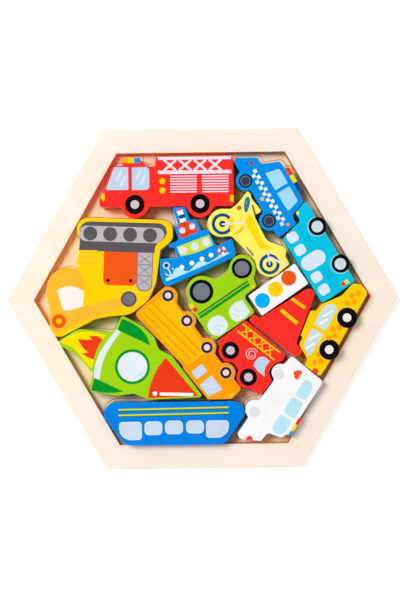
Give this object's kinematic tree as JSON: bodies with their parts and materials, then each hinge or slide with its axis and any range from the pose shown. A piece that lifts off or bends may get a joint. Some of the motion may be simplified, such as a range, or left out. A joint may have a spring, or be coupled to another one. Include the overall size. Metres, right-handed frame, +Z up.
{
  "type": "vehicle shape puzzle",
  "caption": "Flat hexagonal wooden tray whose raised rim holds thick painted vehicle blocks, nested edge to edge, each of which lifts straight out.",
  "frame": {"origin": "middle of the tray's underside", "axes": "+X towards the right-hand corner of the hexagon, +Y towards its upper flat as seen in the picture, +Z up out of the tray"},
  "size_m": [0.2998, 0.26, 0.0183],
  "materials": {
    "birch": "bare sanded",
    "red_paint": "satin paint",
    "blue_paint": "satin paint",
    "lemon_paint": "satin paint",
    "yellow_paint": "satin paint",
    "orange_paint": "satin paint",
    "green_paint": "satin paint",
    "cyan_paint": "satin paint",
    "white_paint": "satin paint"
  },
  "bodies": {
    "tray": {"tray_base": "birch", "tray_frame": "birch"},
    "fire_engine": {"fire_engine_block": "red_paint"},
    "police_car": {"police_car_block": "blue_paint"},
    "tugboat": {"tugboat_block": "blue_paint"},
    "motorcycle": {"motorcycle_block": "lemon_paint"},
    "excavator": {"excavator_block": "yellow_paint"},
    "tractor": {"tractor_block": "green_paint"},
    "traffic_light": {"traffic_light_block": "white_paint"},
    "bus": {"bus_block": "cyan_paint"},
    "taxi": {"taxi_block": "yellow_paint"},
    "ladder_truck": {"ladder_truck_block": "red_paint"},
    "traffic_cone": {"traffic_cone_block": "red_paint"},
    "lorry": {"lorry_block": "orange_paint"},
    "rocket": {"rocket_block": "green_paint"},
    "train": {"train_block": "blue_paint"},
    "ambulance": {"ambulance_block": "white_paint"}
  },
  "joints": [
    {"name": "fire_engine_lift", "type": "slide", "parent": "tray", "child": "fire_engine", "axis": [0, 0, 1], "range_m": [0, 0.03]},
    {"name": "police_car_lift", "type": "slide", "parent": "tray", "child": "police_car", "axis": [0, 0, 1], "range_m": [0, 0.03]},
    {"name": "tugboat_lift", "type": "slide", "parent": "tray", "child": "tugboat", "axis": [0, 0, 1], "range_m": [0, 0.03]},
    {"name": "motorcycle_lift", "type": "slide", "parent": "tray", "child": "motorcycle", "axis": [0, 0, 1], "range_m": [0, 0.03]},
    {"name": "excavator_lift", "type": "slide", "parent": "tray", "child": "excavator", "axis": [0, 0, 1], "range_m": [0, 0.03]},
    {"name": "tractor_lift", "type": "slide", "parent": "tray", "child": "tractor", "axis": [0, 0, 1], "range_m": [0, 0.03]},
    {"name": "traffic_light_lift", "type": "slide", "parent": "tray", "child": "traffic_light", "axis": [0, 0, 1], "range_m": [0, 0.03]},
    {"name": "bus_lift", "type": "slide", "parent": "tray", "child": "bus", "axis": [0, 0, 1], "range_m": [0, 0.03]},
    {"name": "taxi_lift", "type": "slide", "parent": "tray", "child": "taxi", "axis": [0, 0, 1], "range_m": [0, 0.03]},
    {"name": "ladder_truck_lift", "type": "slide", "parent": "tray", "child": "ladder_truck", "axis": [0, 0, 1], "range_m": [0, 0.03]},
    {"name": "traffic_cone_lift", "type": "slide", "parent": "tray", "child": "traffic_cone", "axis": [0, 0, 1], "range_m": [0, 0.03]},
    {"name": "lorry_lift", "type": "slide", "parent": "tray", "child": "lorry", "axis": [0, 0, 1], "range_m": [0, 0.03]},
    {"name": "rocket_lift", "type": "slide", "parent": "tray", "child": "rocket", "axis": [0, 0, 1], "range_m": [0, 0.03]},
    {"name": "train_lift", "type": "slide", "parent": "tray", "child": "train", "axis": [0, 0, 1], "range_m": [0, 0.03]},
    {"name": "ambulance_lift", "type": "slide", "parent": "tray", "child": "ambulance", "axis": [0, 0, 1], "range_m": [0, 0.03]}
  ]
}
